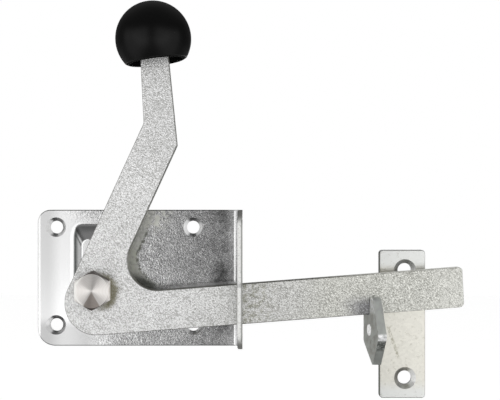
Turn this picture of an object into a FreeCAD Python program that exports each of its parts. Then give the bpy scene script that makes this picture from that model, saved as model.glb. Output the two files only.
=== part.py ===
import FreeCAD, Part
import Sketcher
import math
import os
import re

# Gate bolt: a lever with a ball knob turns on a bolt through a bent base plate.
# Its long arm passes a slot in the plate's flange and drops into a hooked keeper.
# X runs along the arm, Z is up, and the viewer stands at -Y. Both plates lie with
# their backs on Y = 0, and the origin is the middle of the base plate's four holes.

doc = FreeCAD.newDocument("gate_bolt")
sheet = doc.addObject("Spreadsheet::Sheet", "sizes")

# Driving dimensions, in millimetres and degrees. A depth counts from the back of
# the plates towards the viewer.
SIZES = {
    # Base plate
    "sheet_thickness": 2.5,
    "plate_left": 44.5,
    "plate_right": 60.4,
    "plate_rim": 5.0,
    "plate_top_corner": 6.5,
    "plate_bottom_corner": 9.0,
    "plate_bend_radius": 2.5,
    "plate_edge": 0.4,
    "flange_depth": 22.0,
    "flange_corner": 8.0,
    "slot_corner": 1.5,
    "slot_side_room": 1.5,
    "slot_rest_room": 7.35,
    "slot_lift_room": 1.0,
    "plate_pitch_across": 70.0,
    "plate_pitch_up": 50.0,
    "plate_hole": 6.5,
    "plate_countersink": 10.0,
    "countersink_angle": 90.0,
    # Pressed boss that carries the pivot
    "boss_rise": 5.5,
    "boss_top_width": 14.0,
    "boss_top_height": 38.4,
    "boss_wall_run": 5.0,
    "boss_end_run": 7.2,
    "boss_corner": 6.0,
    "boss_foot_blend": 4.0,
    "boss_crown_blend": 1.2,
    "hollow_inset": 0.2,
    "hollow_wall_run": 3.8,
    # Pivot
    "pivot_across": -14.0,
    "pivot_up": -6.0,
    "rest_angle": 4.4,
    "lift_angle": 22.0,
    "shoulder_diameter": 12.0,
    "thread_diameter": 8.0,
    "running_fit": 0.1,
    "thread_clearance": 0.4,
    "axial_play": 0.2,
    "head_flats": 17.0,
    "head_height": 6.4,
    "head_crown": 16.8,
    "crown_angle": 30.0,
    "thread_reach": 5.2,
    "washer_diameter": 20.0,
    "washer_thickness": 0.8,
    "lock_washer_diameter": 13.0,
    "lock_washer_thickness": 0.8,
    "lock_washer_split": 0.9,
    "nut_flats": 13.0,
    "nut_height": 4.0,
    # Lever
    "lever_thickness": 6.0,
    "lever_width": 20.0,
    "arm_drop": 2.75,
    "arm_reach": 184.2,
    "arm_end_lean": 1.5,
    "arm_top_corner": 1.8,
    "arm_bottom_corner": 2.5,
    "leg_angle": 61.0,
    "leg_width": 19.7,
    "leg_back_offset": 11.9,
    "heel_radius": 16.0,
    "crook_radius": 15.0,
    "neck_back": 31.3,
    "neck_width": 15.8,
    "neck_height": 111.5,
    "neck_taper": 1.9,
    "elbow_radius": 1.0,
    "lever_edge": 0.5,
    # Ball knob
    "knob_diameter": 38.0,
    "knob_flat_drop": 11.6,
    "knob_edge": 1.5,
    "knob_recess": 27.0,
    "knob_recess_depth": 3.0,
    "knob_tilt": 3.0,
    "socket_depth": 20.0,
    # Keeper with its hook
    "keeper_thickness": 4.0,
    "keeper_width": 23.4,
    "keeper_height": 75.5,
    "arm_past_keeper": 26.45,
    "keeper_down": 24.4,
    "keeper_hole_inset": 13.1,
    "keeper_pitch": 55.0,
    "keeper_hole": 7.0,
    "keeper_countersink": 11.2,
    "keeper_corner": 1.8,
    "keeper_edge": 0.5,
    "hook_reach": 21.5,
    "hook_bend_radius": 3.0,
    "hook_lean": 13.8,
    "hook_rest_gap": 0.3,
    "hook_lip_room": 0.6,
    "hook_root_height": 13.1,
    "hook_depth": 12.4,
    "hook_top_rise": 9.4,
    "hook_top_lip": 1.6,
    "hook_top_front": 4.6,
    "hook_nose_drop": 9.25,
    "hook_tail_drop": 11.2,
    "hook_tail_front": 4.4,
    "hook_nose_round": 4.0,
    "hook_top_round": 2.5,
    "hook_tail_round": 0.8,
    "hook_root_round": 1.2,
    "hook_hole": 5.6,
    "hook_hole_along": 15.6,
    "hook_hole_drop": 7.25,
}

# Sizes worked out from the driving ones, as formulas on the sheet
FORMULAS = {
    "boss_top": "sheet_thickness + boss_rise",
    "lever_back": "boss_top + washer_thickness + axial_play",
    "lever_front": "lever_back + lever_thickness",
    "head_under": "lever_front + axial_play",
    "head_front": "head_under + head_height",
    "head_corner": "head_flats / sqrt(3)",
    "crown_drop": "(head_corner - head_crown / 2) * tan(crown_angle)",
    "thread_end": "boss_top - sheet_thickness - thread_reach",
    "nut_front": "boss_rise - lock_washer_thickness",
    "nut_corner": "nut_flats / sqrt(3)",
    "nut_chamfer": "(nut_corner - nut_flats / 2) * tan(crown_angle)",
    # Arm of the lever, seen in the lever's own frame
    "arm_under": "arm_drop + lever_width",
    "leg_front_offset": "leg_width - leg_back_offset",
    "crook_across": "(leg_front_offset - arm_drop * cos(leg_angle)) / sin(leg_angle)",
    "heel_across": "-(leg_back_offset + arm_under * cos(leg_angle)) / sin(leg_angle)",
    "arm_end_slant": "lever_width / 2 * tan(arm_end_lean)",
    "neck_front": "neck_back + neck_width",
    "neck_middle": "neck_back + neck_width / 2",
    "elbow_back_up": "(neck_back * sin(leg_angle) + leg_back_offset) / cos(leg_angle)",
    "elbow_front_up": "(neck_front * sin(leg_angle) - leg_front_offset) / cos(leg_angle)",
    "knob_up": "neck_height + knob_flat_drop",
    "knob_radius": "knob_diameter / 2",
    "rim_rise": "knob_flat_drop - knob_edge",
    "rim_across": "sqrt((knob_radius - knob_edge)^2 - rim_rise^2)",
    "rim_reach": "knob_radius / (knob_radius - knob_edge)",
    "lever_top": "neck_height + socket_depth",
    "taper_slope": "neck_taper / 2 / (neck_height - elbow_front_up)",
    "top_inset": "taper_slope * (lever_top - elbow_front_up)",
    "socket_front_inset": "taper_slope * (neck_height - elbow_front_up)",
    "socket_back_inset": "top_inset * (neck_height - elbow_back_up)"
                         " / (lever_top - elbow_back_up)",
    # Slot in the flange, which the arm sweeps from rest to its highest place
    "slot_back": "lever_back - slot_side_room",
    "slot_front": "lever_front + slot_side_room",
    "flange_reach": "plate_right - pivot_across",
    "raised_angle": "rest_angle + lift_angle",
    "slot_top": "pivot_up + flange_reach * tan(raised_angle)"
                " - arm_drop / cos(raised_angle) + slot_lift_room",
    "slot_bottom": "pivot_up + (flange_reach - sheet_thickness) * tan(rest_angle)"
                   " - arm_under / cos(rest_angle) - slot_rest_room",
    "plate_top": "slot_top + plate_rim",
    "plate_bottom": "slot_bottom - plate_rim",
    # Keeper, which the arm's end passes, seen from the middle of its two holes
    "keeper_across": "pivot_across + arm_reach * cos(rest_angle) - arm_past_keeper",
    "keeper_left": "-keeper_hole_inset",
    "keeper_right": "keeper_width - keeper_hole_inset",
    "hook_heel": "keeper_thickness + hook_bend_radius",
    "hook_seat": "pivot_up + (keeper_across - hook_reach - pivot_across) * tan(rest_angle)"
                 " - arm_under / cos(rest_angle) - hook_rest_gap + keeper_down",
    "hook_root_low": "hook_seat - hook_root_height",
    "hook_lip": "lever_front + hook_lip_room",
    "hook_nose": "hook_lip + hook_depth",
    "hook_high": "hook_seat + hook_top_rise",
    "hook_low": "hook_root_low - hook_tail_drop",
    "hook_nose_up": "hook_seat - hook_nose_drop",
}


def fill_sheet(cells, column, prefix):
    """Write one block of named cells and give each cell its alias."""
    for row, (alias, content) in enumerate(cells.items(), 1):
        cell = f"{column}{row}"
        sheet.set(cell, f"{prefix}{content}")
        sheet.setAlias(cell, alias)


fill_sheet(SIZES, "B", "")
fill_sheet(FORMULAS, "D", "=")
doc.recompute()


def value(formula):
    """Work out a formula of sheet names as a plain number."""
    return float(FreeCAD.Units.Quantity(str(sheet.evalExpression(formula))).Value)


def on_sheet(formula):
    """Put the sheet's name before each of its aliases in a formula."""
    def name(word):
        known = word[0] in SIZES or word[0] in FORMULAS
        return f"sizes.{word[0]}" if known else word[0]
    return re.sub(r"[a-z_]+", name, formula)


def bind(thing, property_path, formula):
    thing.setExpression(property_path, on_sheet(formula))


def new_body(label):
    body = doc.addObject("PartDesign::Body", label)
    body.Label = label
    return body


def new_sketch(body, name, plane, offset="0"):
    """A sketch on one of the body's own planes, moved along its normal."""
    sketch = body.newObject("Sketcher::SketchObject", name)
    planes = [face for face in body.Origin.OriginFeatures if face.Role == plane]
    sketch.AttachmentSupport = [(planes[0], "")]
    sketch.MapMode = "FlatFace"
    bind(sketch, "AttachmentOffset.Base.z", offset)
    return sketch


def hold(sketch, kind, geometry, position, formula):
    """Fix one coordinate of a point by a formula."""
    rule = Sketcher.Constraint(kind, -1, 1, geometry, position, value(formula))
    bind(sketch, f"Constraints[{sketch.addConstraint(rule)}]", formula)


def arc_between(start, end, radius):
    """An arc of less than half a turn, run anticlockwise between two points."""
    chord = end - start
    left = FreeCAD.Vector(-chord.y, chord.x, 0).normalize()
    centre = (start + end) * 0.5 + left * math.sqrt(radius ** 2 - (chord.Length / 2) ** 2)
    angles = [math.atan2(point.y - centre.y, point.x - centre.x) for point in (start, end)]
    return Part.ArcOfCircle(Part.Circle(centre, FreeCAD.Vector(0, 0, 1), radius), *angles)


def add_loop(sketch, corners, arcs=()):
    """A closed outline, each corner given by two formulas. The sides are straight, but
    for those whose number and radius are given in arcs."""
    radii = dict(arcs)
    places = [FreeCAD.Vector(value(across), value(up), 0) for across, up in corners]
    first = sketch.GeometryCount
    for index, (start, end) in enumerate(zip(places, places[1:] + places[:1])):
        if index in radii:
            radius = radii[index]
            side = sketch.addGeometry(arc_between(start, end, value(radius)))
            rule = Sketcher.Constraint("Radius", side, value(radius))
            bind(sketch, f"Constraints[{sketch.addConstraint(rule)}]", radius)
        else:
            sketch.addGeometry(Part.LineSegment(start, end))
    for index, (across, up) in enumerate(corners):
        side = first + index
        before = first + (index - 1) % len(corners)
        sketch.addConstraint(Sketcher.Constraint("Coincident", before, 2, side, 1))
        hold(sketch, "DistanceX", side, 1, across)
        hold(sketch, "DistanceY", side, 1, up)


def add_rectangle(sketch, left, right, bottom, top):
    add_loop(sketch, [(left, bottom), (right, bottom), (right, top), (left, top)])


def add_circle(sketch, across, up, diameter):
    centre = FreeCAD.Vector(value(across), value(up), 0)
    ring = Part.Circle(centre, FreeCAD.Vector(0, 0, 1), value(diameter) / 2)
    index = sketch.addGeometry(ring)
    hold(sketch, "DistanceX", index, 3, across)
    hold(sketch, "DistanceY", index, 3, up)
    rule = sketch.addConstraint(Sketcher.Constraint("Diameter", index, value(diameter)))
    bind(sketch, f"Constraints[{rule}]", diameter)


def add_hexagon(sketch, corner_radius):
    """A hexagon about the sketch's origin with two corners straight up and down."""
    half = f"{corner_radius} / 2"
    flat = f"{corner_radius} * sqrt(3) / 2"
    add_loop(sketch, [("0", f"-{corner_radius}"), (flat, f"-{half}"), (flat, half),
                      ("0", corner_radius), (f"-{flat}", half), (f"-{flat}", f"-{half}")])


def pad(body, sketch, length, midplane=False):
    feature = body.newObject("PartDesign::Pad", f"{sketch.Name}_pad")
    feature.Profile = sketch
    feature.Midplane = midplane
    bind(feature, "Length", length)
    sketch.Visibility = False
    return feature


def pocket(body, sketch, both_ways=True, length=None, forward=False):
    """Cut a sketch out, right through both ways or to one depth."""
    feature = body.newObject("PartDesign::Pocket", f"{sketch.Name}_cut")
    feature.Profile = sketch
    feature.Reversed = forward
    if length:
        bind(feature, "Length", length)
    else:
        feature.Type = "ThroughAll"
        feature.Midplane = both_ways
    sketch.Visibility = False
    return feature


def revolve(body, sketch, axis):
    feature = body.newObject("PartDesign::Revolution", f"{sketch.Name}_turned")
    feature.Profile = sketch
    feature.ReferenceAxis = (sketch, [axis])
    feature.Angle = 360
    sketch.Visibility = False
    return feature


def fillet(body, name, base, edges, radius):
    feature = body.newObject("PartDesign::Fillet", name)
    feature.Base = (base, edges)
    bind(feature, "Radius", radius)
    return feature


def chamfer(body, name, base, edges, size):
    feature = body.newObject("PartDesign::Chamfer", name)
    feature.Base = (base, edges)
    bind(feature, "Size", size)
    return feature


def edges_of(feature, wanted):
    """Names of the edges whose middle and direction pass a test."""
    doc.recompute()
    names = []
    for number, edge in enumerate(feature.Shape.Edges, 1):
        span = edge.LastParameter - edge.FirstParameter
        middle = edge.valueAt(edge.FirstParameter + span / 2)
        ends = [vertex.Point for vertex in edge.Vertexes]
        run = ends[-1] - ends[0]
        if wanted(middle, run):
            names.append(f"Edge{number}")
    return names


def near(first, second, reach=0.05):
    return abs(first - second) < reach


def along(run, axis):
    """True where an edge runs along one axis, given as x, y or z."""
    others = [getattr(run, name) for name in "xyz" if name != axis]
    return abs(getattr(run, axis)) > 0.1 and all(abs(part) < 0.01 for part in others)


def countersunk_holes(body, sketch, diameter, head):
    """Screw holes that open out towards the viewer."""
    doc.recompute()
    holes = body.newObject("PartDesign::Hole", f"{sketch.Name}_drilled")
    holes.Profile = sketch
    doc.recompute()
    holes.ThreadType = "None"
    holes.DepthType = "ThroughAll"
    bind(holes, "Diameter", diameter)
    holes.HoleCutType = "Countersink"
    holes.HoleCutCustomValues = True
    bind(holes, "HoleCutDiameter", head)
    bind(holes, "HoleCutCountersinkAngle", "countersink_angle")
    sketch.Visibility = False
    return holes


# Base plate: flat sheet whose right end is folded towards the viewer. The sheet
# and its flange are one bent strip, seen from above and drawn out upwards.
base_plate = new_body("base_plate")
strip = new_sketch(base_plate, "plate_strip", "XY_Plane", "plate_bottom")
add_loop(strip, [
    ("-plate_left", "0"), ("plate_right", "0"), ("plate_right", "-flange_depth"),
    ("plate_right - sheet_thickness", "-flange_depth"),
    ("plate_right - sheet_thickness", "-sheet_thickness"),
    ("-plate_left", "-sheet_thickness")])
plate_sheet = pad(base_plate, strip, "plate_top - plate_bottom")

plate_right = value("plate_right")
plate_inner = value("plate_right - sheet_thickness")
sheet_thickness = value("sheet_thickness")
plate_bend_inner = fillet(
    base_plate, "plate_bend_inner", plate_sheet,
    edges_of(plate_sheet, lambda middle, run: along(run, "z")
             and near(middle.x, plate_inner) and near(middle.y, -sheet_thickness)),
    "plate_bend_radius")
plate_bend_outer = fillet(
    base_plate, "plate_bend_outer", plate_bend_inner,
    edges_of(plate_bend_inner, lambda middle, run: along(run, "z")
             and near(middle.x, plate_right) and near(middle.y, 0)),
    "plate_bend_radius + sheet_thickness")

# Corners of the sheet, cut round
plate_left = -value("plate_left")
plate_upper = value("plate_top")
plate_lower = value("plate_bottom")
flange_front = -value("flange_depth")
plate_tops = fillet(
    base_plate, "plate_top_round", plate_bend_outer,
    edges_of(plate_bend_outer, lambda middle, run: along(run, "y")
             and near(middle.x, plate_left) and near(middle.z, plate_upper)),
    "plate_top_corner")
plate_bottoms = fillet(
    base_plate, "plate_bottom_round", plate_tops,
    edges_of(plate_tops, lambda middle, run: along(run, "y")
             and near(middle.x, plate_left) and near(middle.z, plate_lower)),
    "plate_bottom_corner")
flange_ends = fillet(
    base_plate, "flange_round", plate_bottoms,
    edges_of(plate_bottoms, lambda middle, run: along(run, "x")
             and near(middle.y, flange_front)),
    "flange_corner")

# The press breaks the front edge all round the sheet, and round its fold and flange
chamfer(base_plate, "plate_front_edge", flange_ends,
        edges_of(flange_ends, lambda middle, run: along(run, "x")
                 and near(middle.y, -sheet_thickness) and near(middle.z, plate_upper)),
        "plate_edge")

# Slot in the flange for the arm
slot = new_sketch(base_plate, "flange_slot", "YZ_Plane", "plate_right - flange_depth")
add_rectangle(slot, "-slot_front", "-slot_back", "slot_bottom", "slot_top")
flange_slot = pocket(base_plate, slot, length="2 * flange_depth", forward=True)
slot_levels = (-value("slot_front"), -value("slot_back"))
slot_ends = fillet(
    base_plate, "slot_round", flange_slot,
    edges_of(flange_slot, lambda middle, run: along(run, "x")
             and any(near(middle.y, level) for level in slot_levels)
             and middle.x > plate_inner),
    "slot_corner")

# Pressed boss: a tapered rise with the hollow that the press leaves behind it
doc.recompute()


def boss_section(name, depth, half_width, half_height):
    """One level of the boss, a rectangle about the pivot's upright line."""
    level = new_sketch(base_plate, name, "XZ_Plane", depth)
    add_rectangle(level, f"pivot_across - ({half_width})", f"pivot_across + {half_width}",
                  f"-({half_height})", half_height)
    level.Visibility = False
    return level


half_width = "boss_top_width / 2"
half_height = "boss_top_height / 2"
boss_foot = boss_section("boss_foot", "sheet_thickness", f"{half_width} + boss_wall_run",
                         f"{half_height} + boss_end_run")
boss_crown = boss_section("boss_crown", "boss_top", half_width, half_height)
boss = base_plate.newObject("PartDesign::AdditiveLoft", "boss_rise_form")
boss.Profile = boss_foot
boss.Sections = [boss_crown]
boss.Ruled = True
pivot_across = value("pivot_across")
boss_foot_depth = value("sheet_thickness")
boss_crown_depth = value("boss_top")
foot_half_width = value(f"{half_width} + boss_wall_run")
foot_half_height = value(f"{half_height} + boss_end_run")


def between(level, low, high):
    return low < level < high


boss_corners = fillet(
    base_plate, "boss_corner_round", boss,
    edges_of(boss, lambda middle, run: abs(run.y) > boss_crown_depth - boss_foot_depth - 0.1
             and abs(run.x) > 0.1 and abs(run.z) > 0.1
             and between(-middle.y, boss_foot_depth, boss_crown_depth)),
    "boss_corner")
boss_edge = fillet(
    base_plate, "boss_crown_round", boss_corners,
    edges_of(boss_corners, lambda middle, run: near(-middle.y, boss_crown_depth)
             and near(run.y, 0)),
    "boss_crown_blend")
boss_swage = fillet(
    base_plate, "boss_foot_round", boss_edge,
    edges_of(boss_edge, lambda middle, run: near(-middle.y, boss_foot_depth) and near(run.y, 0)
             and abs(middle.x - pivot_across) < foot_half_width + 0.1
             and abs(middle.z) < foot_half_height + 0.1),
    "boss_foot_blend")

hollow_width = f"{half_width} - hollow_inset"
hollow_height = f"{half_height} - hollow_inset"
hollow_mouth = boss_section("hollow_mouth", "0", f"{hollow_width} + hollow_wall_run",
                            f"{hollow_height} + hollow_wall_run")
hollow_floor = boss_section("hollow_floor", "boss_rise", hollow_width, hollow_height)
hollow = base_plate.newObject("PartDesign::SubtractiveLoft", "boss_hollow")
hollow.Profile = hollow_mouth
hollow.Sections = [hollow_floor]
hollow.Ruled = True

# Bore for the thread, and the four screw holes
bore = new_sketch(base_plate, "pivot_bore", "XZ_Plane", "boss_top")
add_circle(bore, "pivot_across", "pivot_up", "thread_diameter + thread_clearance")
pocket(base_plate, bore, length="boss_top")
screws = new_sketch(base_plate, "plate_holes", "XZ_Plane", "sheet_thickness")
for side in ("-", ""):
    for level in ("-", ""):
        add_circle(screws, f"{side}plate_pitch_across / 2", f"{level}plate_pitch_up / 2",
                   "plate_hole")
countersunk_holes(base_plate, screws, "plate_hole", "plate_countersink")


def hex_cut(body, name, depth, flats_radius, length):
    """Leave a hexagon of a turned blank, from one depth back towards the plate."""
    flats = new_sketch(body, name, "XZ_Plane", depth)
    add_circle(flats, "0", "0", f"4 * {flats_radius}")
    add_hexagon(flats, flats_radius)
    return pocket(body, flats, length=length)


def on_pivot(body, angle=None):
    """Stand a body on the pivot line, turned to the lever's rest angle if asked."""
    bind(body, "Placement.Base.x", "pivot_across")
    bind(body, "Placement.Base.z", "pivot_up")
    if angle:
        body.Placement.Rotation = FreeCAD.Rotation(FreeCAD.Vector(0, -1, 0), value(angle))


# Pivot bolt: turned shoulder bolt with a hexagon head, seen as a half section
pivot_bolt = new_body("pivot_bolt")
on_pivot(pivot_bolt)
section = new_sketch(pivot_bolt, "bolt_section", "YZ_Plane")
thread = "thread_diameter / 2"
add_loop(section, [
    ("-thread_end", "0"), ("-head_front", "0"), ("-head_front", "head_crown / 2"),
    ("-head_front + crown_drop", "head_corner"), ("-head_under", "head_corner"),
    ("-head_under", "shoulder_diameter / 2"), ("-boss_top", "shoulder_diameter / 2"),
    ("-boss_top", thread), ("-thread_end - thread_clearance * 2", thread),
    ("-thread_end", f"{thread} - thread_clearance * 2")])
revolve(pivot_bolt, section, "H_Axis")
hex_cut(pivot_bolt, "head_flats", "head_front", "head_corner", "head_height")

# Bearing washer: lies on the boss round the shoulder, under the lever
bearing_washer = new_body("bearing_washer")
on_pivot(bearing_washer)
ring = new_sketch(bearing_washer, "washer_ring", "XZ_Plane", "boss_top")
add_circle(ring, "0", "0", "washer_diameter")
add_circle(ring, "0", "0", "shoulder_diameter + thread_clearance")
pad(bearing_washer, ring, "washer_thickness")

# Lock washer and thin nut: fill the hollow behind the boss
lock_washer = new_body("lock_washer")
on_pivot(lock_washer)
lock_ring = new_sketch(lock_washer, "lock_ring", "XZ_Plane", "nut_front")
add_circle(lock_ring, "0", "0", "lock_washer_diameter")
add_circle(lock_ring, "0", "0", "thread_diameter + thread_clearance")
pad(lock_washer, lock_ring, "lock_washer_thickness")
split = new_sketch(lock_washer, "lock_split", "XZ_Plane", "nut_front")
add_rectangle(split, "-lock_washer_split / 2", "lock_washer_split / 2",
              "0", "lock_washer_diameter")
pocket(lock_washer, split)

lock_nut = new_body("lock_nut")
on_pivot(lock_nut)
nut_section = new_sketch(lock_nut, "nut_section", "YZ_Plane")
nut_bore = "(thread_diameter + running_fit) / 2"
nut_back = "-nut_front + nut_height"
add_loop(nut_section, [
    ("-nut_front", nut_bore), ("-nut_front", "nut_flats / 2"),
    ("-nut_front + nut_chamfer", "nut_corner"), (f"{nut_back} - nut_chamfer", "nut_corner"),
    (nut_back, "nut_flats / 2"), (nut_back, nut_bore)])
revolve(lock_nut, nut_section, "H_Axis")
hex_cut(lock_nut, "nut_flats", "nut_front", "nut_corner", "nut_height")

# Lever: flat bar with a long arm, a slanted leg and an upright neck for the knob.
# It is drawn about the pivot with its arm level, and its body is turned to rest.
lever = new_body("lever")
on_pivot(lever, "rest_angle")
blank = new_sketch(lever, "lever_blank", "XZ_Plane", "lever_back")
add_loop(blank, [
    ("heel_across", "-arm_under"), ("arm_reach - arm_end_slant", "-arm_under"),
    ("arm_reach + arm_end_slant", "-arm_drop"),
    ("crook_across", "-arm_drop"), ("neck_front", "elbow_front_up"),
    ("neck_front - top_inset", "lever_top"), ("neck_back + top_inset", "lever_top"),
    ("neck_back", "elbow_back_up")])
add_circle(blank, "0", "0", "shoulder_diameter + running_fit")
lever_bar = pad(lever, blank, "lever_thickness")


def lever_corner(across, up):
    """A test for the upright edge of the bar at one corner of its outline."""
    place_across = value(across)
    place_up = value(up)
    return lambda middle, run: (along(run, "y") and near(middle.x, place_across)
                                and near(middle.z, place_up))


lever_form = lever_bar
for name, across, up, radius in (
        ("heel_round", "heel_across", "-arm_under", "heel_radius"),
        ("crook_round", "crook_across", "-arm_drop", "crook_radius"),
        ("elbow_back_round", "neck_back", "elbow_back_up", "elbow_radius"),
        ("elbow_front_round", "neck_front", "elbow_front_up", "elbow_radius"),
        ("arm_top_round", "arm_reach + arm_end_slant", "-arm_drop", "arm_top_corner"),
        ("arm_bottom_round", "arm_reach - arm_end_slant", "-arm_under",
         "arm_bottom_corner")):
    corner = edges_of(lever_form, lever_corner(across, up))
    lever_form = fillet(lever, name, lever_form, corner, radius)

# The punch leaves the front edge of the bar slightly round
lever_front = value("lever_front")
bore_radius = value("(shoulder_diameter + running_fit) / 2")
fillet(lever, "lever_front_edge", lever_form,
       edges_of(lever_form, lambda middle, run: near(-middle.y, lever_front) and near(run.y, 0)
                and math.hypot(middle.x, middle.z) > bore_radius + 1),
       "lever_edge")

# Ball knob: moulded ball with a bevelled rim and a shallow recess underneath, turned
# about its own upright line, and a socket that grips the neck. It sits a little askew.
ball_knob = new_body("ball_knob")
on_pivot(ball_knob, "rest_angle")
ball = new_sketch(ball_knob, "ball", "XZ_Plane", "lever_back + lever_thickness / 2")
ball.AttachmentOffset = FreeCAD.Placement(
    FreeCAD.Vector(), FreeCAD.Rotation(FreeCAD.Vector(0, 0, 1), value("knob_tilt")))
bind(ball, "AttachmentOffset.Base.x", "neck_middle")
bind(ball, "AttachmentOffset.Base.y", "knob_up")
recess_floor = "-knob_flat_drop + knob_recess_depth"
add_loop(ball, [
    ("0", recess_floor), ("knob_recess / 2", recess_floor),
    ("knob_recess / 2", "-knob_flat_drop"), ("rim_across", "-knob_flat_drop"),
    ("rim_across * rim_reach", "-rim_rise * rim_reach"), ("0", "knob_radius")],
    arcs=[(4, "knob_radius")])
revolve(ball_knob, ball, "V_Axis")
socket = new_sketch(ball_knob, "neck_socket", "XZ_Plane", "lever_back")
add_loop(socket, [
    ("neck_back + socket_back_inset", "neck_height"),
    ("neck_front - socket_front_inset", "neck_height"),
    ("neck_front - top_inset", "lever_top"), ("neck_back + top_inset", "lever_top")])
pocket(ball_knob, socket, length="lever_thickness", forward=True)

# Keeper: flat plate with a tab folded forward from its left edge into a hook. The
# tab is a bent strip, cut to the hook's outline and pierced through its side, and
# the plate is added behind it.
keeper_plate = new_body("keeper_plate")
bind(keeper_plate, "Placement.Base.x", "keeper_across")
bind(keeper_plate, "Placement.Base.z", "-keeper_down")
hook_strip = new_sketch(keeper_plate, "hook_strip", "XY_Plane", "hook_low")
strip_end = "2 * keeper_thickness"
lean = "tan(hook_lean)"
wall = "keeper_thickness / cos(hook_lean)"
bend = "(hook_bend_radius + keeper_thickness)"
outer_foot = f"-hook_reach + {bend} - {bend} * (1 / cos(hook_lean) + {lean})"
add_loop(hook_strip, [
    (f"keeper_left + {strip_end}", "0"), (outer_foot, "0"),
    (f"{outer_foot} + hook_nose * {lean}", "-hook_nose"),
    (f"{outer_foot} + {wall} + hook_nose * {lean}", "-hook_nose"),
    (f"{outer_foot} + {wall} + keeper_thickness * {lean}", "-keeper_thickness"),
    (f"keeper_left + {strip_end}", "-keeper_thickness")])
hook_sheet = pad(keeper_plate, hook_strip, "hook_high - hook_low")
keeper_thickness = value("keeper_thickness")
foot_inner = value(f"{outer_foot} + {wall} + keeper_thickness * {lean}")
foot_outer = value(outer_foot)
hook_inner = fillet(
    keeper_plate, "hook_bend_inner", hook_sheet,
    edges_of(hook_sheet, lambda middle, run: along(run, "z")
             and near(middle.x, foot_inner) and near(-middle.y, keeper_thickness)),
    "hook_bend_radius")
hook_outer = fillet(
    keeper_plate, "hook_bend_outer", hook_inner,
    edges_of(hook_inner, lambda middle, run: along(run, "z")
             and near(middle.x, foot_outer) and near(middle.y, 0)),
    "hook_bend_radius + keeper_thickness")

hook_outline = [
    ("1", "hook_root_low"), ("-hook_heel", "hook_root_low"),
    ("-hook_lip - hook_tail_front", "hook_low"), ("-hook_nose", "hook_nose_up"),
    ("-hook_lip - hook_top_front", "hook_high"), ("-hook_lip - hook_top_lip", "hook_high"),
    ("-hook_lip", "hook_seat"), ("1", "hook_seat")]
trim = new_sketch(keeper_plate, "hook_trim", "YZ_Plane")
add_rectangle(trim, "-hook_nose - 5", "5", "hook_low - 5", "hook_high + 5")
add_loop(trim, hook_outline)
hook_form = pocket(keeper_plate, trim)


def hook_corner(depth, up):
    """A test for the edges across the tab at one corner of the hook's outline."""
    place_depth = value(depth)
    place_up = value(up)
    return lambda middle, run: (near(middle.y, place_depth) and near(middle.z, place_up)
                                and along(run, "x"))


for name, (depth, up), radius in (
        ("hook_nose_end", hook_outline[3], "hook_nose_round"),
        ("hook_top_end", hook_outline[4], "hook_top_round"),
        ("hook_tail_end", hook_outline[2], "hook_tail_round"),
        ("hook_root_lower", hook_outline[1], "hook_root_round"),
        ("hook_root_upper", hook_outline[6], "hook_root_round")):
    corner = edges_of(hook_form, hook_corner(depth, up))
    hook_form = fillet(keeper_plate, name, hook_form, corner, radius)

pierced = new_sketch(keeper_plate, "hook_hole", "YZ_Plane", outer_foot)
pierced.AttachmentOffset = FreeCAD.Placement(
    FreeCAD.Vector(), FreeCAD.Rotation(FreeCAD.Vector(0, 1, 0), value("hook_lean")))
add_circle(pierced, "-hook_hole_along", "hook_seat - hook_hole_drop", "hook_hole")
pocket(keeper_plate, pierced, length="keeper_thickness", forward=True)

keeper_blank = new_sketch(keeper_plate, "keeper_blank", "XZ_Plane")
add_rectangle(keeper_blank, "keeper_left", "keeper_right",
              "-keeper_height / 2", "keeper_height / 2")
keeper_sheet = pad(keeper_plate, keeper_blank, "keeper_thickness")
keeper_half = value("keeper_height / 2")
keeper_form = fillet(
    keeper_plate, "keeper_round", keeper_sheet,
    edges_of(keeper_sheet, lambda middle, run: along(run, "y")
             and near(abs(middle.z), keeper_half)),
    "keeper_corner")
keeper_left = value("keeper_left")
keeper_form = fillet(
    keeper_plate, "keeper_front_edge", keeper_form,
    edges_of(keeper_form, lambda middle, run: near(-middle.y, keeper_thickness)
             and near(run.y, 0) and middle.x > keeper_left + 0.1),
    "keeper_edge")
keeper_screws = new_sketch(keeper_plate, "keeper_holes", "XZ_Plane", "keeper_thickness")
for level in ("-", ""):
    add_circle(keeper_screws, "0", f"{level}keeper_pitch / 2", "keeper_hole")
countersunk_holes(keeper_plate, keeper_screws, "keeper_hole", "keeper_countersink")

# Every object must be sound before a file is written
doc.recompute()
for item in doc.Objects:
    if "Invalid" in item.State or "Error" in item.State:
        raise RuntimeError(f"{item.Name} did not build: {item.State}")
pieces = [item for item in doc.Objects if item.TypeId == "PartDesign::Body"]
for piece in pieces:
    if piece.Shape.isNull() or not piece.Shape.isValid() or len(piece.Shape.Solids) != 1:
        raise RuntimeError(f"{piece.Label} is not one sound solid")

os.makedirs("parts", exist_ok=True)
for piece in pieces:
    piece.Shape.exportStep(f"parts/{piece.Label}.step")
    box = piece.Shape.BoundBox
    print(f"{piece.Label}: volume {piece.Shape.Volume:.1f}",
          f"x {box.XMin:.2f} {box.XMax:.2f} y {box.YMin:.2f} {box.YMax:.2f}",
          f"z {box.ZMin:.2f} {box.ZMax:.2f}")
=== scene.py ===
import math

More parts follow.
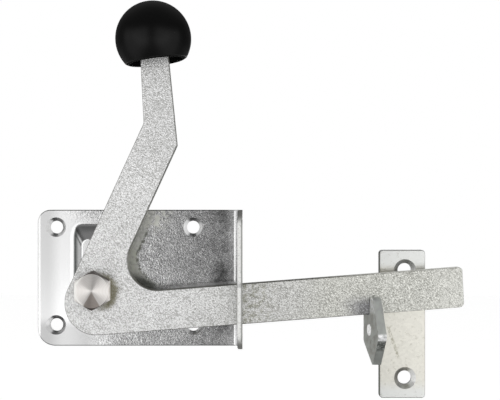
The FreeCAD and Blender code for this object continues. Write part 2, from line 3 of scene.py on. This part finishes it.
import bpy
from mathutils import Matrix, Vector

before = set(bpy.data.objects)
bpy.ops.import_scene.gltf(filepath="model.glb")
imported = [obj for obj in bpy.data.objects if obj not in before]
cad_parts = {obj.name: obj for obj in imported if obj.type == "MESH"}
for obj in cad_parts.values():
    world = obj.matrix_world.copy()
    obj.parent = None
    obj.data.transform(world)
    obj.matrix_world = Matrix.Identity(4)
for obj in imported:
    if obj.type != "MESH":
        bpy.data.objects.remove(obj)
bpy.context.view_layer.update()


# Base plate. A zinc-coated steel sheet, punched, pressed up round the pivot and folded
# at its right end. The rolled sheet mirrors its surroundings softly through a fine
# crystal grain, and its sheared edges are duller and paler than its faces.
MM = 0.001


def linear(colour):
    """A hex colour as Blender's linear values."""
    channels = [int(colour[place:place + 2], 16) / 255 for place in (1, 3, 5)]
    return tuple(c / 12.92 if c <= 0.04045 else ((c + 0.055) / 1.055) ** 2.4
                 for c in channels) + (1.0,)


def feed(socket, given):
    """Set a socket to a value, or link it to another socket or a node's first output."""
    if isinstance(given, bpy.types.Node):
        given = next(output for output in given.outputs if output.enabled)
    if isinstance(given, bpy.types.NodeSocket):
        socket.id_data.links.new(given, socket)
    else:
        socket.default_value = given


def add_node(tree, kind, *inputs, **settings):
    """A node with its settings and with its inputs, which are given in the order in
    which it shows them or by their capitalised names."""
    node = tree.nodes.new(kind)
    for name in [name for name in settings if name.islower()]:
        setattr(node, name, settings.pop(name))
    shown = [socket for socket in node.inputs if socket.enabled]
    for socket, given in zip(shown, inputs):
        feed(socket, given)
    for name, given in settings.items():
        feed(node.inputs[name], given)
    return node


def mask(*spans):
    """The product of spans and of other masks. A span is a value, the two limits that it
    runs between and, unless these are 0 and 1, what it gives at each limit."""
    product = None
    for span in spans:
        if isinstance(span, tuple):
            span = add_node(span[0].id_data, "ShaderNodeMapRange", *span,
                            interpolation_type="SMOOTHSTEP")
        if product:
            span = add_node(span.id_data, "ShaderNodeMath", product, span,
                            operation="MULTIPLY")
        product = span
    return product


def largest(*masks):
    """The largest of several masks."""
    first = masks[0]
    for other in masks[1:]:
        first = add_node(other.id_data, "ShaderNodeMath", first, other, operation="MAXIMUM")
    return first


class Finish:
    """A material under construction. Its place is in millimetres on the object, and
    facing is how much a face looks along each axis, either way."""

    def __init__(self, name, colour, roughness, metallic=0.0):
        self.material = bpy.data.materials.new(name)
        self.material.use_nodes = True
        self.tree = self.material.node_tree
        self.shader = self.tree.nodes["Principled BSDF"].inputs
        given = add_node(self.tree, "ShaderNodeTexCoord").outputs
        self.place = add_node(self.tree, "ShaderNodeVectorMath", given["Object"],
                              Scale=1 / MM, operation="SCALE")
        unsigned = add_node(self.tree, "ShaderNodeVectorMath", given["Normal"],
                            operation="ABSOLUTE")
        self.spot = add_node(self.tree, "ShaderNodeSeparateXYZ", self.place).outputs
        self.side = add_node(self.tree, "ShaderNodeSeparateXYZ", given["Normal"]).outputs
        self.facing = add_node(self.tree, "ShaderNodeSeparateXYZ", unsigned).outputs
        self.paint(linear(colour), roughness, metallic)

    def paint(self, colour, roughness, metallic):
        """Set its colour, roughness and metal, each as a value or a node."""
        self.colour = colour
        self.metal = metallic
        feed(self.shader["Base Color"], colour)
        feed(self.shader["Roughness"], roughness)
        feed(self.shader["Metallic"], metallic)

    def stain(self, where, colour, metallic=None, blend="MIX"):
        """Lay a colour over it where a mask says so, and make it less or more metallic."""
        self.colour = add_node(self.tree, "ShaderNodeMix", where, self.colour,
                               linear(colour), data_type="RGBA", blend_type=blend)
        feed(self.shader["Base Color"], self.colour)
        if metallic is not None:
            self.metal = add_node(self.tree, "ShaderNodeMix", where, self.metal, metallic)
            feed(self.shader["Metallic"], self.metal)

    def cloud(self, size_mm, detail=3.0, roughness=0.7):
        """Irregular spots of about this size."""
        return add_node(self.tree, "ShaderNodeTexNoise", Vector=self.place,
                        Scale=1 / size_mm, Detail=detail, Roughness=roughness)

    def beyond(self, degrees, x, z):
        """How far it is above a line through x and z, or right of it where the line
        rises steeply, in millimetres."""
        lean = math.radians(degrees)
        across = Vector((-math.sin(lean), 0, math.cos(lean)))
        if degrees > 45:
            across.negate()
        height = add_node(self.tree, "ShaderNodeVectorMath", self.place, across,
                          operation="DOT_PRODUCT")
        return add_node(self.tree, "ShaderNodeMath", height, across.dot((x, 0, z)),
                        operation="SUBTRACT")

    def distance(self, *point):
        """How far it is from a point, in millimetres."""
        return add_node(self.tree, "ShaderNodeVectorMath", self.place, point,
                        operation="DISTANCE")

    def dress(self, node_name):
        """Give this finish to a CAD node."""
        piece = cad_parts[node_name]
        piece.data.materials.clear()
        piece.data.materials.append(self.material)


def zinc_grain(finish, grain_mm, lean, stretch, network, pillow):
    """Crystals of random tone with dark seams between them, and their rounded height."""
    tree = finish.tree
    lay = add_node(tree, "ShaderNodeMapping", Vector=finish.place,
                   Rotation=(0, math.radians(lean), 0), Scale=(1, 1, stretch),
                   vector_type="TEXTURE")
    crystals = add_node(tree, "ShaderNodeTexVoronoi", Vector=lay, Scale=1 / grain_mm)
    cell = add_node(tree, "ShaderNodeSeparateXYZ", crystals.outputs["Color"])
    seams = add_node(tree, "ShaderNodeTexVoronoi", feature="DISTANCE_TO_EDGE", Vector=lay,
                     Scale=0.6 / grain_mm)
    seam = mask((seams.outputs["Distance"], 0.0, 0.16))
    speckle = add_node(tree, "ShaderNodeTexNoise", Vector=lay, Scale=1 / (1.2 * grain_mm),
                       Roughness=0.7)
    crystal = add_node(tree, "ShaderNodeMix", network, cell, seam)
    return (add_node(tree, "ShaderNodeMix", 0.5, crystal, speckle),
            add_node(tree, "ShaderNodeMix", pillow, crystal, speckle))


def zinc(name, light, dark, edge, grain_mm, contrast, relief_mm, roughness, metallic=1.0,
         lean=0.0, stretch=1.0, network=0.0, pillow=0.5, cloud_mm=14.0, clouds=0.25,
         fold=None, cut_roughness=0.6, cut_metallic=1.0, front=None, woken=None):
    """Zinc-coated steel: a crystal grain on its faces and a plain tone on its cut edges.
    A fold tells from where on the sheet's face looks sideways, front the depth beyond
    which all is cut, and woken gives the share of grain and the tone where it has none."""
    finish = Finish(name, light, roughness)
    tree = finish.tree
    grain, height = zinc_grain(finish, grain_mm, lean, stretch, network, pillow)
    clouded = add_node(tree, "ShaderNodeMath", finish.cloud(cloud_mm, roughness=0.6), clouds,
                       grain, operation="MULTIPLY_ADD")
    middle = 0.5 + clouds / 2
    tone = mask((clouded, middle - 0.5 / contrast, middle + 0.5 / contrast))
    if woken:
        share, ironed_tone = woken(finish)
        tone = add_node(tree, "ShaderNodeMix", share, ironed_tone, tone)
        height = mask(height, share)
    face = add_node(tree, "ShaderNodeMix", tone, linear(dark), linear(light),
                    data_type="RGBA")
    flatness = finish.facing["Y"]
    if fold:
        axis, first, last = fold
        flatness = add_node(tree, "ShaderNodeMix", mask((finish.spot[axis], first, last)),
                            flatness, finish.facing["X"])
    whole = mask((flatness, 0.3, 0.6))
    if front:
        whole = mask(whole, (finish.spot["Y"], -front, 0.2 - front))
    finish.paint(
        add_node(tree, "ShaderNodeMix", whole, linear(edge), face, data_type="RGBA"),
        add_node(tree, "ShaderNodeMix", whole, cut_roughness, roughness),
        add_node(tree, "ShaderNodeMix", whole, cut_metallic, metallic))
    feed(finish.shader["Normal"], add_node(tree, "ShaderNodeBump", Strength=1.0,
                                           Distance=relief_mm * MM, Height=height))
    return finish


def countersink(finish, plate_mm):
    """Where the cone of a countersunk hole is, in a plate of this thickness."""
    return mask((finish.facing["Y"], 0.85, 0.75), (finish.facing["Y"], 0.5, 0.65),
                (finish.spot["Y"], -plate_mm - 0.02, -plate_mm + 0.06))


SHEET_MM = 2.5
SHEET_LEFT = -44.5
SHEET_TOP = 33.86
SHEET_BOTTOM = -35.64
BEND_START = 55.4
BEND_END = 57.9
FLANGE_OUTSIDE = 60.4
FLANGE_FRONT = 22.0


def sheet_woken(finish):
    """The grain stays right of the boss and near the sheet's edges. Elsewhere the press
    ironed it off, as the drill did in the countersinks and the bender on the flange."""
    spot = finish.spot
    right_part = mask((spot["X"], -12, 8))
    upper_edge = mask((spot["Z"], 27, 32), (spot["X"], -34, -12))
    lower_edge = mask((spot["Z"], -26, -33), (spot["X"], -20, -4))
    share = largest(right_part, upper_edge, lower_edge)
    share = add_node(finish.tree, "ShaderNodeMix", countersink(finish, SHEET_MM), share, 0.0)
    share = mask(share, (spot["X"], BEND_START + 0.9, BEND_START - 0.1))
    ironed_tone = mask((spot["X"], -40, -32, 0.27, 0.74))
    return share, ironed_tone


sheet = zinc(
    "rolled_zinc_sheet", light="#ffffff", dark="#c6c6c6", edge="#f4f4f2", grain_mm=0.7,
    contrast=1.4, relief_mm=0.19, roughness=0.17, stretch=1.3, cloud_mm=7.0, clouds=0.9,
    fold=("X", BEND_START, BEND_END), cut_metallic=0.5, front=FLANGE_FRONT - 0.3,
    woken=sheet_woken)
spot, side, facing = sheet.spot, sheet.side, sheet.facing
front = mask((side["Y"], -0.3, -0.7))
before_flange = (spot["X"], 57, 56)

# Towards the bend the sheet is darker and blotched. Just above the arm it is darker still, in
# blotches of painted shade of the arm
toward_bend = mask((spot["X"], 36, 55), (sheet.cloud(9), 0.4, 0.6, 0.4, 1.0), before_flange)
sheet.stain(toward_bend, "#aaaaaa", blend="MULTIPLY")
# Painted shade of the arm on the sheet just above it, in blotches
over_arm = mask(front, (spot["X"], 42, 49), before_flange, (spot["Z"], 12, 2),
                (spot["Z"], -14, -8))
sheet.stain(mask(over_arm, (sheet.cloud(3.0), 0.35, 0.6, 0.3, 1.0)), "#989898",
            blend="MULTIPLY")
# Between the boss and this darker part it is a little paler
sheet.stain(mask((spot["X"], 36, 28), (spot["X"], 10, 18, 0.0, 0.15)), "#ffffff")

# A greenish, less metallic painted reflection of the lever's edge follows its crook on the sheet
# and fades along its arm. The crook and the edges of leg and arm are given as they hang before
# the sheet.
CROOK_MIDDLE = (19.2, -2.5, 9.5)
CROOK_RADIUS = 16.9
LEG_DEGREES = 65.4
LEG_EDGE = (3.2, 14.2)
ARM_DEGREES = 5.3
ARM_EDGE = (19.8, -7.6)
past_crook = add_node(sheet.tree, "ShaderNodeMath", CROOK_RADIUS,
                      sheet.distance(*CROOK_MIDDLE), operation="SUBTRACT")
clear = add_node(sheet.tree, "ShaderNodeMix", mask((spot["Z"], 10, 14)), past_crook,
                 sheet.beyond(LEG_DEGREES, *LEG_EDGE))
under_lever = (clear, -11, -1)
beside_leg = mask(front, under_lever, (clear, 4.4, 3.4), (spot["X"], 24, 18))
# Painted reflection of the lever's edge beside its leg
sheet.stain(mask(beside_leg, (spot["Z"], -7, 5, 0.0, 0.9), (spot["Z"], 10, 22, 1.0, 0.6),
                 (sheet.cloud(2.5), 0.3, 0.6, 0.6, 1.0)), "#bcbdb0", 0.2)
# Pale clouds spread towards the top, and the rim of the painted reflection is a painted shade in
# dark dashes
sheet.stain(mask(front, (clear, 0, 2), (clear, 15, 7), (spot["Z"], 20, 27),
                 (sheet.cloud(3.0), 0.4, 0.6, 0.0, 0.8)), "#d6d6cc", 0.3)
# Painted shade in dark dashes along the rim of the painted reflection
sheet.stain(mask(front, (clear, 5.4, 4.4), (clear, 3.0, 4.0), (spot["X"], 15, 10),
                 (sheet.cloud(1.6), 0.35, 0.6)), "#74766b", 0.7)
# Painted shade darkens the crook's corner and a thin line along the arm
# Painted shade in the crook's corner
sheet.stain(mask(front, under_lever, (clear, 5.5, 2.0), (spot["Z"], 3, -3, 0.0, 0.8),
                 (spot["X"], 20, 13)), "#5c6054", 0.8)
above_arm = sheet.beyond(ARM_DEGREES, *ARM_EDGE)
# Painted shade in a thin line along the arm's top edge
sheet.stain(mask(front, (above_arm, 2.5, 1.0), (above_arm, -0.5, 0.0), (spot["X"], 18, 26),
                 (sheet.cloud(1.5), 0.3, 0.6, 0.4, 0.8)), "#b0b0b0", 0.3)

# The sheet is darker below the boss and left of it
sheet.stain(mask((spot["Z"], -20, -27), (spot["X"], -8, -20)), "#d4d4d4", blend="MULTIPLY")
sheet.stain(mask((spot["X"], -28, -36)), "#f4f4f4", blend="MULTIPLY")
# The boss's sloping walls are painted dark as shade, most at the foot and less where they face
# up
boss_wall = mask((facing["Y"], 0.96, 0.8), (spot["Y"], -SHEET_MM, -SHEET_MM - 0.7),
                 (spot["X"], 20, 10))
# Painted shade on the boss's walls
sheet.stain(mask(boss_wall, (spot["Y"], -3.6, -6.5, 0.9, 0.25), (side["Z"], 0.2, 0.5, 1.0, 0.6)),
            "#3c423f")

# The rounded ends of the flange, where they face up and down, carry painted shade, its outer
# corner a dark line of painted shade, and its front is specked
on_flange = (spot["X"], BEND_END - 0.2, BEND_END + 0.1)
# Painted shade on the flange's rounded ends
sheet.stain(mask(on_flange, (facing["Z"], 0.1, 0.7, 0.0, 0.7)), "#6c6c64", 1.0)
# Painted shade in a dark line at the flange's outer corner
sheet.stain(mask((spot["X"], FLANGE_OUTSIDE - 1.0, FLANGE_OUTSIDE - 0.4, 0.0, 0.6),
                 (spot["Y"], 1.0 - FLANGE_FRONT, 0.4 - FLANGE_FRONT)), "#55554f", 1.0)
sheet.stain(mask((spot["Y"], 0.4 - FLANGE_FRONT, 0.2 - FLANGE_FRONT),
                 (spot["X"], BEND_END - 0.9, BEND_END + 0.1),
                 (sheet.cloud(1.0), 0.5, 0.62, 0.0, 0.45)), "#a8a8a2")
# A dark line of painted shade runs along the top and the bottom edge too
upper_edge_shade = mask((spot["Z"], SHEET_TOP - 0.76, SHEET_TOP - 0.46))
lower_edge_shade = mask((spot["Z"], SHEET_BOTTOM + 1.64, SHEET_BOTTOM + 1.24))
# Painted shade on the front edges at the top and the bottom
sheet.stain(mask(largest(upper_edge_shade, lower_edge_shade), (facing["Z"], 0.2, 0.6),
                 (spot["Y"], 0.7 - SHEET_MM, 0.4 - SHEET_MM), (spot["X"], 57, 55)),
            "#5a5a54", 1.0)
# A painted highlight spreads the bend's light over a few millimetres of the sheet
sheet.stain(mask((spot["X"], 50, 56), (spot["Y"], -6, -4),
                 (sheet.cloud(1.5), 0.1, 0.6, 0.0, 0.6)), "#ffffff", 0.5)
# The rolled left edge carries a painted highlight, and the countersinks carry painted shade in
# their upper part and a painted highlight in their left part
# Painted highlight on the left edge
sheet.stain(mask((spot["X"], SHEET_LEFT + 1.7, SHEET_LEFT + 1.3, 0.0, 0.9)), "#fafafa", 0.3)
sunk = countersink(sheet, SHEET_MM)
# Painted shade in the upper part of the countersinks
sheet.stain(mask(sunk, (side["Z"], -0.25, -0.55, 0.0, 0.75)), "#444444")
# Painted highlight in the left part of the countersinks
sheet.stain(mask(sunk, (side["X"], 0.2, 0.5, 0.0, 0.9)), "#ffffff", 0.2)
sheet.dress("base_plate")

# Pivot fittings. A turned shoulder bolt, a flat washer under the lever, and a lock
# washer and thin nut in the hollow behind the plate. The bolt head is faced in a
# lathe, so its rings of tool marks spread the light into two bright fans.
PIVOT_X = -14
PIVOT_Z = -6
HEAD_FACE = -21.6
FACE_RING = 7.5
TOOL_MARK_MM = 0.7
turned = Finish("turned_stainless_steel", "#ebe6e1", 0.38, 1.0)
turned.shader["Anisotropic"].default_value = 1.0
turned.shader["Anisotropic Rotation"].default_value = 0.25
rings = add_node(turned.tree, "ShaderNodeTangent", direction_type="RADIAL", axis="Y")
feed(turned.shader["Tangent"], rings)
about_pivot = add_node(turned.tree, "ShaderNodeMapping", Vector=turned.place,
                       Location=(-PIVOT_X, 0, -PIVOT_Z))
# A wave texture makes 20 / (2 pi) rings in one unit
marks = add_node(turned.tree, "ShaderNodeTexWave", Vector=about_pivot,
                 Scale=2 * math.pi / (20 * TOOL_MARK_MM), Distortion=0.6, Detail=1.0,
                 wave_type="RINGS", rings_direction="Y")
turned.stain(marks.outputs["Fac"], "#fdfaf7")
# Painted shade darkens the lower fan more than the upper one, in a wedge below the centre
WEDGE_SLOPE = 0.6
right_of_pivot = add_node(turned.tree, "ShaderNodeMath", turned.spot["X"], PIVOT_X,
                          operation="SUBTRACT")
aside = add_node(turned.tree, "ShaderNodeMath", right_of_pivot, operation="ABSOLUTE")
wedge = add_node(turned.tree, "ShaderNodeMath", turned.spot["Z"], WEDGE_SLOPE, aside,
                 operation="MULTIPLY_ADD")
wedge_edge = PIVOT_Z * WEDGE_SLOPE
turned.stain(mask((wedge, wedge_edge + 0.1, wedge_edge - 0.7)), "#c8c1bd", blend="MULTIPLY")
# The outer ring of the face carries a painted highlight on its left, and the bevel painted shade
# where it faces up and down
turned.stain(mask((turned.distance(PIVOT_X, HEAD_FACE, PIVOT_Z), FACE_RING, FACE_RING + 0.3),
                  (turned.spot["Y"], HEAD_FACE + 0.6, HEAD_FACE + 0.3),
                  (turned.spot["X"], PIVOT_X - 3, PIVOT_X - 6)), "#f4f2ee", 0.4)
# Painted shade on the bevel where it faces up and down
turned.stain(mask((turned.facing["Y"], 0.97, 0.9), (turned.facing["Z"], 0.2, 0.45, 0.0, 0.85)),
             "#6f6863")
turned.dress("pivot_bolt")

plated = zinc("bright_zinc_plating", light="#d4d8dc", dark="#b9bec4", edge="#aab0b6",
              grain_mm=0.5, contrast=1.0, relief_mm=0.004, roughness=0.25)
for fitting in ("bearing_washer", "lock_washer", "lock_nut"):
    plated.dress(fitting)

# Lever. Flat bar cut to shape and dipped in molten zinc, which freezes into a
# sparkling grain. It is lighter than the sheet and much rougher.
bar = zinc(
    "dipped_zinc_bar", light="#ffffff", dark="#b8b8b5", edge="#c4c4bc", grain_mm=0.5,
    contrast=2.6, relief_mm=0.45, roughness=0.25, metallic=0.55, cut_roughness=0.4,
    cut_metallic=0.6, lean=-45, stretch=1.6, network=0.5, pillow=0.8, cloud_mm=9.0,
    clouds=0.2)
spot, facing = bar.spot, bar.facing
front = mask((bar.side["Y"], 0.3, 0.0))

# It is darker along the arm and at the neck
bar.stain(mask((spot["X"], 10, 75)), "#ececea", blend="MULTIPLY")
bar.stain(mask((spot["X"], 75, 110)), "#f9f9f4", blend="MULTIPLY")
bar.stain(mask((spot["Z"], 45, 70)), "#f8f8f8", blend="MULTIPLY")
# The zinc ran thicker towards the arm's free end, with larger bright crystals
bar.stain(mask(front, (spot["X"], 85, 120), (bar.cloud(0.8, 1.0), 0.58, 0.66, 0.0, 0.8)),
          "#fdfdf6", 0.25)
bar.stain(mask(front, (spot["X"], 154, 160, 0.0, 0.35), (bar.cloud(3.0), 0.35, 0.6)),
          "#f4f4ee", 0.4)
# A painted shadow of the bolt head lies round it, olive and less metallic, mostly right of it
HEAD_SHADOW_MIDDLE = (-11, -15, -7)
ragged = add_node(bar.tree, "ShaderNodeMath", bar.cloud(1.6), 5.0,
                  bar.distance(*HEAD_SHADOW_MIDDLE), operation="MULTIPLY_ADD")
# Painted shadow of the bolt head
bar.stain(mask(front, (ragged, 13.2, 10.5), (spot["X"], -16, -6, 0.0, 0.8)), "#66603a", 0.3)
# The rounded front edge carries painted shade, most where it faces up and down and less towards
# the arm's free end, and the cut edge is paler at the arm's free end
# Painted shade on the rounded front edge
bar.stain(mask((facing["Y"], 0.97, 0.85), (facing["Z"], 0.0, 0.5, 0.4, 1.0),
               (spot["X"], 100, 140, 1.0, 0.0)), "#90908b", blend="MULTIPLY")
bar.stain(mask((facing["Y"], 0.6, 0.3), (spot["X"], 90, 140, 0.0, 0.7)), "#e6e6e0", 0.0)
# Right of the slot the arm carries the flange's painted shadow in blotches, and left of the hook
# the hook's painted shadow
# Painted shadow of the flange on the arm
bar.stain(mask((bar.cloud(2.5), 0.45, 0.6), (spot["X"], 82, 66), (spot["X"], 57, 59)),
          "#cecec4", blend="MULTIPLY")
drift = add_node(bar.tree, "ShaderNodeMath", bar.cloud(3.0), 10.0, spot["X"],
                 operation="MULTIPLY_ADD")
sink = add_node(bar.tree, "ShaderNodeMath", bar.cloud(3.0), 6.0, spot["Z"],
                operation="MULTIPLY_ADD")
# Painted shadow of the hook on the arm
bar.stain(mask(front, (drift, 111, 127), (spot["X"], 130, 126), (sink, -4, -11)), "#b0b0b8",
          blend="MULTIPLY")
bar.dress("lever")

# Ball knob. Moulded black phenolic plastic pressed on the lever's neck, satin from
# handling, so it only shows two faint soft lights. The rim of its underside is duller.
BALL_MIDDLE = (15.6, -12, 119.7)
BALL_RADIUS = 19
SATIN = 0.35
phenolic = Finish("moulded_black_phenolic", "#030303", SATIN)
phenolic.shader["Specular IOR Level"].default_value = 0.2
rim = mask((phenolic.distance(*BALL_MIDDLE), BALL_RADIUS - 0.15, BALL_RADIUS - 0.45))
feed(phenolic.shader["Roughness"],
     add_node(phenolic.tree, "ShaderNodeMix", rim, SATIN, 1.0))
phenolic.dress("ball_knob")

# Keeper. A thicker plate with the hook folded out of its left edge. Its zinc is
# smooth and slightly warm, with faint stains where it dried.
KEEPER_MM = 4.0
KEEPER_LEFT = 130.1
keeper = zinc(
    "smooth_zinc_plate", light="#e6e4db", dark="#dad8cf", edge="#c8c9c8", grain_mm=1.2,
    contrast=1.0, relief_mm=0.01, roughness=0.3, cloud_mm=6.0, clouds=0.5,
    fold=("Y", -KEEPER_MM, -KEEPER_MM - 2), cut_roughness=0.4, cut_metallic=0.8)
spot, side, facing = keeper.spot, keeper.side, keeper.facing
# Its countersinks carry painted shade on their left and a painted highlight on their right
sunk = countersink(keeper, KEEPER_MM)
keeper.stain(mask(sunk, (side["X"], -0.2, 0.4, 0.0, 0.5)), "#4c4c4c")
keeper.stain(mask(sunk, (side["X"], -0.2, -0.5, 0.0, 0.8)), "#ffffff", 0.3)
# It is cooler in tone near its ends, with faint brownish stains and specks
lower_end = mask((spot["Z"], -52, -60, 0.0, 0.8))
upper_end = mask((spot["Z"], 2, 7, 0.0, 0.8))
keeper.stain(largest(lower_end, upper_end), "#e4e6e5", 0.9)
keeper.stain(mask((keeper.cloud(2.2, 4.0, 0.75), 0.56, 0.66, 0.0, 0.3), (spot["Y"], -7, -5)),
             "#8f8a76")
# A run of flux dried beside the hook
RUN_DEGREES = 109
RUN_MIDDLE = (137.3, -34)
run = keeper.beyond(RUN_DEGREES, *RUN_MIDDLE)
keeper.stain(mask((side["Y"], -0.3, -0.7), (run, -1.1, -0.3), (run, 1.1, 0.3),
                  (spot["Z"], -24, -27), (spot["Z"], -43, -41),
                  (keeper.cloud(0.9), 0.45, 0.6, 0.1, 0.7)), "#96927e")

# The hook is a dull grey. Its sheared edge carries a painted highlight at the nose, and mottled
# painted shade below it, where it faces down
hooked = mask((spot["Y"], -KEEPER_MM - 1, -KEEPER_MM - 4))
keeper.stain(mask(hooked, (keeper.cloud(3.0), 0.35, 0.65, 0.2, 1.0)), "#c6cac4", 0.5)
sheared = mask(hooked, (facing["X"], 0.92, 0.7))
# Painted shade on the sheared edge, deepest below the nose
keeper.stain(mask(sheared, (spot["Z"], -29.5, -31, 0.3, 1.0)), "#969995")
keeper.stain(mask(sheared, (spot["Z"], -29, -30), (spot["Z"], -36, -34),
                  (keeper.cloud(1.2), 0.42, 0.55)), "#5c5e5b")
# Painted highlight at the nose
keeper.stain(mask(sheared, (spot["Z"], -26, -27.5), (spot["Z"], -30.3, -29.3),
                  (keeper.cloud(1.5), 0.3, 0.5)), "#ffffff")
# Where it bends over the arm its side carries a painted reflection of the arm
keeper.stain(mask(hooked, (facing["X"], 0.7, 0.92), (spot["Z"], -18, -15),
                  (keeper.cloud(1.2), 0.4, 0.6)), "#eceeee", 0.3)
# The left edge of the plate is darkened, and the wall of the hook's hole carries a painted
# highlight
HOLE_MIDDLE = (125.4, -14.7, -25.9)
HOLE_WALL_REACH = 3.45
keeper.stain(mask((spot["X"], KEEPER_LEFT + 0.55, KEEPER_LEFT + 0.3), (spot["Y"], -6, -4.5)),
             "#6c6e68")
in_hole = (keeper.distance(*HOLE_MIDDLE), HOLE_WALL_REACH + 0.15, HOLE_WALL_REACH)
# Painted highlight on the wall of the hook's hole
keeper.stain(mask(hooked, in_hole, (keeper.cloud(1.2), 0.35, 0.6, 0.6, 1.0)), "#ffffff", 0.0)
keeper.dress("keeper_plate")

# Room. A pale floor well below the bolt and a white backdrop behind it. Two softboxes
# stand left and right of the camera, and the room round them is dim.
CAMERA_PLACE = Vector((64.15, -511.0, 38.9)) * MM
FOCAL_PIXELS = 994
PHOTO_WIDTH = 500
SENSOR_MM = 36

camera_data = bpy.data.cameras.new("camera")
camera_data.sensor_width = SENSOR_MM
camera_data.lens = SENSOR_MM * FOCAL_PIXELS / PHOTO_WIDTH
camera_data.clip_start = 0.01
camera = bpy.data.objects.new("camera", camera_data)
camera.location = CAMERA_PLACE
camera.rotation_euler = (math.radians(90), 0, 0)
bpy.context.scene.collection.objects.link(camera)
bpy.context.scene.camera = camera

world = bpy.data.worlds.new("studio")
world.use_nodes = True
bpy.context.scene.world = world
tree = world.node_tree
direction = add_node(tree, "ShaderNodeTexCoord").outputs["Generated"]
away = add_node(tree, "ShaderNodeSeparateXYZ", direction).outputs
unsigned = add_node(tree, "ShaderNodeVectorMath", direction, operation="ABSOLUTE")
either_way = add_node(tree, "ShaderNodeSeparateXYZ", unsigned).outputs
# What metal and plastic mirror: the white backdrop, a bright wall on each side, and a
# dim ceiling and camera side
walls = mask((either_way["X"], 0.62, 0.8, 0.0, 0.95), (either_way["Z"], 0.45, 0.2),
             (away["Y"], 0.06, -0.06))
backdrop = mask((away["Y"], 0.955, 0.985))
ceiling = mask((either_way["Z"], 0.4, 0.85, 0.1, 0.22))
camera_side = mask((away["Y"], -0.4, -0.8, 0.1, 0.12))
rays = add_node(tree, "ShaderNodeLightPath").outputs
mirrored = mask(rays["Is Glossy Ray"], largest(walls, backdrop, ceiling, camera_side))
spread = mask((rays["Is Diffuse Ray"], 0, 1, 0.0, 0.8))
feed(tree.nodes["Background"].inputs["Color"], (1, 1, 1, 1))
feed(tree.nodes["Background"].inputs["Strength"],
     largest(rays["Is Camera Ray"], rays["Is Transmission Ray"], mirrored, spread))

SOFTBOX_AWAY = 1.0
SOFTBOX_LOW = -0.29
SOFTBOX_HIGH = 0.6


def softbox(name, left, right, radiance):
    """An upright area lamp that faces the bolt from behind the camera. Its power in watts
    is pi times its radiance times its area."""
    lamp = bpy.data.lights.new(name, "AREA")
    lamp.shape = "RECTANGLE"
    lamp.size = right - left
    lamp.size_y = SOFTBOX_HIGH - SOFTBOX_LOW
    lamp.energy = radiance * math.pi * lamp.size * lamp.size_y
    stand = bpy.data.objects.new(name, lamp)
    stand.location = ((left + right) / 2, -SOFTBOX_AWAY, (SOFTBOX_LOW + SOFTBOX_HIGH) / 2)
    stand.rotation_euler = (math.radians(90), 0, 0)
    stand.visible_camera = False
    bpy.context.scene.collection.objects.link(stand)


softbox("left_softbox", left=-1.25, right=-0.17, radiance=1.0)
softbox("right_softbox", left=0.2, right=1.3, radiance=1.0)

FLOOR_DROP = 0.3
FLOOR_SIZE = 6.0
floor_mesh = bpy.data.meshes.new("floor")
edge = FLOOR_SIZE / 2
floor_mesh.from_pydata([(-edge, -edge, -FLOOR_DROP), (edge, -edge, -FLOOR_DROP),
                        (edge, edge, -FLOOR_DROP), (-edge, edge, -FLOOR_DROP)],
                       [], [(0, 1, 2, 3)])
floor = bpy.data.objects.new("floor", floor_mesh)
bpy.context.scene.collection.objects.link(floor)
paint = Finish("pale_floor_paint", "#f4f4f4", 0.9)
rays = add_node(paint.tree, "ShaderNodeLightPath").outputs
# In metal the floor shows painted shade: it is painted grey except under the softboxes and right
# behind the bolt, where it stays bright
depth = paint.spot["Y"]
aside = add_node(paint.tree, "ShaderNodeMath", paint.spot["X"], operation="ABSOLUTE")
beside = add_node(paint.tree, "ShaderNodeMath", depth, -0.3, aside, operation="MULTIPLY_ADD")
behind = mask((beside, 0, -100), (depth, 0, 300))
bright = largest(mask((aside, 100, 400), (depth, 100, -100)), behind)
# Painted shade on the floor, seen only in reflections
paint.stain(mask(rays["Is Glossy Ray"], (bright, 0, 1, 1, 0)), "#8c8c8c")
shown = largest(rays["Is Camera Ray"], rays["Is Transmission Ray"],
                mask(rays["Is Glossy Ray"], behind))
feed(paint.shader["Emission Color"], (1, 1, 1, 1))
feed(paint.shader["Emission Strength"], mask((shown, 0, 1, 0.0, 0.3)))
floor_mesh.materials.append(paint.material)

bpy.context.scene.view_settings.view_transform = "Standard"
